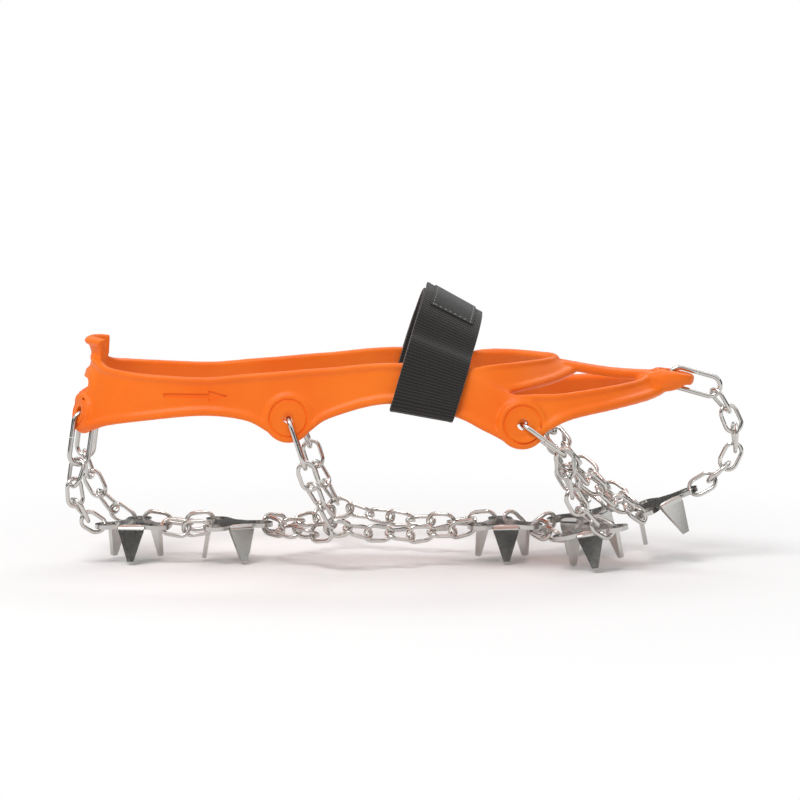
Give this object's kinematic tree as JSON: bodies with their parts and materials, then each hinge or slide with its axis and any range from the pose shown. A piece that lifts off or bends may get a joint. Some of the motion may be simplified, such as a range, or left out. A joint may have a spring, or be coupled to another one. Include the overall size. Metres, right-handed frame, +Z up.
{
  "type": "ice cleat",
  "caption": "Slip-on ice cleat for footwear: moulded elastomer harness with heel pull tab and instep strap, carrying a net of steel chain and spiked plates under the sole.",
  "frame": {"origin": "middle of the sole plane, level with the top faces of the heel and forefoot plates", "axes": "+X towards the toe, +Z up, -Y the side with the folded strap end (right)"},
  "size_m": [0.3212, 0.103, 0.1332],
  "materials": {
    "harness_tpe": "satin moulded elastomer",
    "webbing": "woven black webbing",
    "hook_tape": "black hook and loop tape",
    "plate_steel": "polished stainless sheet",
    "wire_steel": "bright stainless wire"
  },
  "bodies": {
    "harness": {"harness": "harness_tpe", "strap_base": "webbing", "strap_loop_patch": "hook_tape"},
    "chain_heel_right": {"chain_heel_right": "wire_steel"},
    "chain_heel_left": {"chain_heel_left": "wire_steel"},
    "chain_heel_link_right": {"chain_heel_link_right": "wire_steel"},
    "chain_heel_link_left": {"chain_heel_link_left": "wire_steel"},
    "chain_waist_rear_right": {"chain_waist_rear_right": "wire_steel"},
    "chain_waist_rear_left": {"chain_waist_rear_left": "wire_steel"},
    "chain_mid_right": {"chain_mid_right": "wire_steel"},
    "chain_mid_left": {"chain_mid_left": "wire_steel"},
    "chain_waist_front_right": {"chain_waist_front_right": "wire_steel"},
    "chain_waist_front_left": {"chain_waist_front_left": "wire_steel"},
    "chain_ball_right": {"chain_ball_right": "wire_steel"},
    "chain_ball_left": {"chain_ball_left": "wire_steel"},
    "chain_ball_cross": {"chain_ball_cross": "wire_steel"},
    "chain_front_right": {"chain_front_right": "wire_steel"},
    "chain_front_left": {"chain_front_left": "wire_steel"},
    "chain_toe_right": {"chain_toe_right": "wire_steel"},
    "chain_toe_left": {"chain_toe_left": "wire_steel"},
    "chain_toe": {"chain_toe": "wire_steel"},
    "ring_heel_right": {"ring_heel_right": "wire_steel"},
    "ring_heel_left": {"ring_heel_left": "wire_steel"},
    "ring_mid_right": {"ring_mid_right": "wire_steel"},
    "ring_mid_left": {"ring_mid_left": "wire_steel"},
    "ring_front_right": {"ring_front_right": "wire_steel"},
    "ring_front_left": {"ring_front_left": "wire_steel"},
    "ring_toe": {"ring_toe": "wire_steel"},
    "junction_ring_right": {"junction_ring_right": "wire_steel"},
    "junction_ring_left": {"junction_ring_left": "wire_steel"},
    "plate_heel_rear": {"plate_heel_rear": "plate_steel"},
    "plate_heel_front": {"plate_heel_front": "plate_steel"},
    "plate_forefoot": {"plate_forefoot": "plate_steel"},
    "plate_ball_right": {"plate_ball_right": "plate_steel"},
    "plate_ball_left": {"plate_ball_left": "plate_steel"},
    "plate_toe": {"plate_toe": "plate_steel"},
    "strap_tail": {"strap_tail": "webbing", "strap_hook_patch": "hook_tape", "strap_end_patch": "webbing"}
  },
  "joints": [
    {"name": "chain_heel_right_swing", "type": "hinge", "parent": "harness", "child": "chain_heel_right", "pos_m": [-0.14758, -0.01231, 0.01442], "axis": [0.2777, 0.2116, -0.9371], "range_deg": [-2.8, 2.8]},
    {"name": "chain_heel_left_swing", "type": "hinge", "parent": "harness", "child": "chain_heel_left", "pos_m": [-0.14067, 0.01476, 0.01435], "axis": [0.5677, -0.0301, -0.8227], "range_deg": [-5, 5]},
    {"name": "chain_heel_link_right_swing", "type": "hinge", "parent": "harness", "child": "chain_heel_link_right", "pos_m": [-0.10127, -0.01008, -0.001], "axis": [0.9891, -0.1471, 0], "range_deg": [-0.7, 0.9]},
    {"name": "chain_heel_link_left_swing", "type": "hinge", "parent": "harness", "child": "chain_heel_link_left", "pos_m": [-0.10639, 0.01304, -0.001], "axis": [0.9988, -0.0482, 0], "range_deg": [-5, 5]},
    {"name": "chain_waist_rear_right_swing", "type": "hinge", "parent": "harness", "child": "chain_waist_rear_right", "pos_m": [-0.04835, -0.01678, -0.00065], "axis": [0.7294, -0.6838, 0.0178], "range_deg": [-5, 5]},
    {"name": "chain_waist_rear_left_swing", "type": "hinge", "parent": "harness", "child": "chain_waist_rear_left", "pos_m": [-0.04835, 0.01678, -0.00065], "axis": [0.7294, 0.6838, 0.0178], "range_deg": [-5, 5]},
    {"name": "chain_mid_right_swing", "type": "hinge", "parent": "harness", "child": "chain_mid_right", "pos_m": [-0.03784, -0.03841, 0.01839], "axis": [0.4183, 0.1499, -0.8959], "range_deg": [-5, 5]},
    {"name": "chain_mid_left_swing", "type": "hinge", "parent": "harness", "child": "chain_mid_left", "pos_m": [-0.03784, 0.03841, 0.01839], "axis": [0.4183, -0.1499, -0.8959], "range_deg": [-5, 5]},
    {"name": "chain_waist_front_right_swing", "type": "hinge", "parent": "harness", "child": "chain_waist_front_right", "pos_m": [0.00495, -0.02062, -0.00008], "axis": [0.9328, 0.3592, -0.0304], "range_deg": [-5, 3.7]},
    {"name": "chain_waist_front_left_swing", "type": "hinge", "parent": "harness", "child": "chain_waist_front_left", "pos_m": [0.01005, 0.02349, 0.0001], "axis": [0.9692, -0.2442, -0.0319], "range_deg": [-5, 5]},
    {"name": "chain_ball_right_swing", "type": "hinge", "parent": "harness", "child": "chain_ball_right", "pos_m": [0.06963, -0.01703, -0.00203], "axis": [0.5646, -0.8169, -0.1179], "range_deg": [-0.4, 0.9]},
    {"name": "chain_ball_left_swing", "type": "hinge", "parent": "harness", "child": "chain_ball_left", "pos_m": [0.06267, 0.02105, -0.00218], "axis": [0.8949, 0.4344, -0.1023], "range_deg": [-5, 5]},
    {"name": "chain_ball_cross_swing", "type": "hinge", "parent": "harness", "child": "chain_ball_cross", "pos_m": [0.09121, 0, -0.00013], "axis": [0, 1, 0], "range_deg": [-5, 5]},
    {"name": "chain_front_right_swing", "type": "hinge", "parent": "harness", "child": "chain_front_right", "pos_m": [0.08655, -0.03945, 0.01935], "axis": [0.4837, 0.2608, -0.8355], "range_deg": [-5, 0.8]},
    {"name": "chain_front_left_swing", "type": "hinge", "parent": "harness", "child": "chain_front_left", "pos_m": [0.08655, 0.03945, 0.01935], "axis": [0.4837, -0.2608, -0.8355], "range_deg": [-0.8, 5]},
    {"name": "chain_toe_right_swing", "type": "hinge", "parent": "harness", "child": "chain_toe_right", "pos_m": [0.09441, -0.02869, 0.02147], "axis": [0.6829, 0.4572, -0.5697], "range_deg": [-5, 5]},
    {"name": "chain_toe_left_swing", "type": "hinge", "parent": "harness", "child": "chain_toe_left", "pos_m": [0.09441, 0.02869, 0.02147], "axis": [0.6829, -0.4572, -0.5697], "range_deg": [-5, 5]},
    {"name": "chain_toe_swing", "type": "hinge", "parent": "harness", "child": "chain_toe", "pos_m": [0.14554, 0, 0.03881], "axis": [-0.2043, 0, -0.9789], "range_deg": [-2.8, 2.8]},
    {"name": "ring_heel_right_swing", "type": "hinge", "parent": "harness", "child": "ring_heel_right", "pos_m": [-0.14845, -0.01369, 0.05405], "axis": [-0.1382, -0.079, -0.9872], "range_deg": [-8, 8]},
    {"name": "ring_heel_left_swing", "type": "hinge", "parent": "harness", "child": "ring_heel_left", "pos_m": [-0.14845, 0.01369, 0.05405], "axis": [-0.1382, 0.079, -0.9872], "range_deg": [-8, 8]},
    {"name": "ring_mid_right_swing", "type": "hinge", "parent": "harness", "child": "ring_mid_right", "pos_m": [-0.0517, -0.03761, 0.05433], "axis": [0.3199, -0.12, -0.9398], "range_deg": [-8, 8]},
    {"name": "ring_mid_left_swing", "type": "hinge", "parent": "harness", "child": "ring_mid_left", "pos_m": [-0.0517, 0.03761, 0.05433], "axis": [0.3199, 0.12, -0.9398], "range_deg": [-8, 8]},
    {"name": "ring_front_right_swing", "type": "hinge", "parent": "harness", "child": "ring_front_right", "pos_m": [0.05619, -0.04593, 0.05227], "axis": [0.7975, 0.0798, -0.5981], "range_deg": [-3, 3]},
    {"name": "ring_front_left_swing", "type": "hinge", "parent": "harness", "child": "ring_front_left", "pos_m": [0.05619, 0.04593, 0.05227], "axis": [0.7975, -0.0798, -0.5981], "range_deg": [-3, 3]},
    {"name": "ring_toe_swing", "type": "hinge", "parent": "harness", "child": "ring_toe", "pos_m": [0.1282, 0, 0.07062], "axis": [0.962, 0, -0.273], "range_deg": [-8, 8]},
    {"name": "junction_ring_right_swing", "type": "hinge", "parent": "harness", "child": "junction_ring_right", "pos_m": [-0.029, -0.0327, 0.002], "axis": [0, 0.7071, 0.7071], "range_deg": [-20, 20]},
    {"name": "junction_ring_left_swing", "type": "hinge", "parent": "harness", "child": "junction_ring_left", "pos_m": [-0.029, 0.0327, 0.002], "axis": [0, -0.7071, 0.7071], "range_deg": [-20, 20]},
    {"name": "plate_heel_rear_rock", "type": "hinge", "parent": "harness", "child": "plate_heel_rear", "pos_m": [-0.1265, 0, -0.001], "axis": [0, 1, 0], "range_deg": [-1.4, 0.5]},
    {"name": "plate_heel_front_rock", "type": "hinge", "parent": "harness", "child": "plate_heel_front", "pos_m": [-0.0805, 0, -0.001], "axis": [0, 1, 0], "range_deg": [-0.7, 3]},
    {"name": "plate_forefoot_rock", "type": "hinge", "parent": "harness", "child": "plate_forefoot", "pos_m": [0.0493, 0, -0.001], "axis": [0, 1, 0], "range_deg": [-2.1, 0.5]},
    {"name": "plate_ball_right_rock", "type": "hinge", "parent": "harness", "child": "plate_ball_right", "pos_m": [0.08977, -0.0225, -0.00038], "axis": [0, 1, 0], "range_deg": [-0.7, 2.1]},
    {"name": "plate_ball_left_rock", "type": "hinge", "parent": "harness", "child": "plate_ball_left", "pos_m": [0.08977, 0.0225, -0.00038], "axis": [0, 1, 0], "range_deg": [-1, 2.1]},
    {"name": "plate_toe_rock", "type": "hinge", "parent": "harness", "child": "plate_toe", "pos_m": [0.12337, 0, 0.00907], "axis": [0, 1, 0], "range_deg": [-2.1, 1.4]},
    {"name": "strap_peel", "type": "hinge", "parent": "harness", "child": "strap_tail", "pos_m": [0.01135, -0.047, 0.0615], "axis": [0.971, -0.1377, -0.1952], "range_deg": [0, 110]}
  ]
}
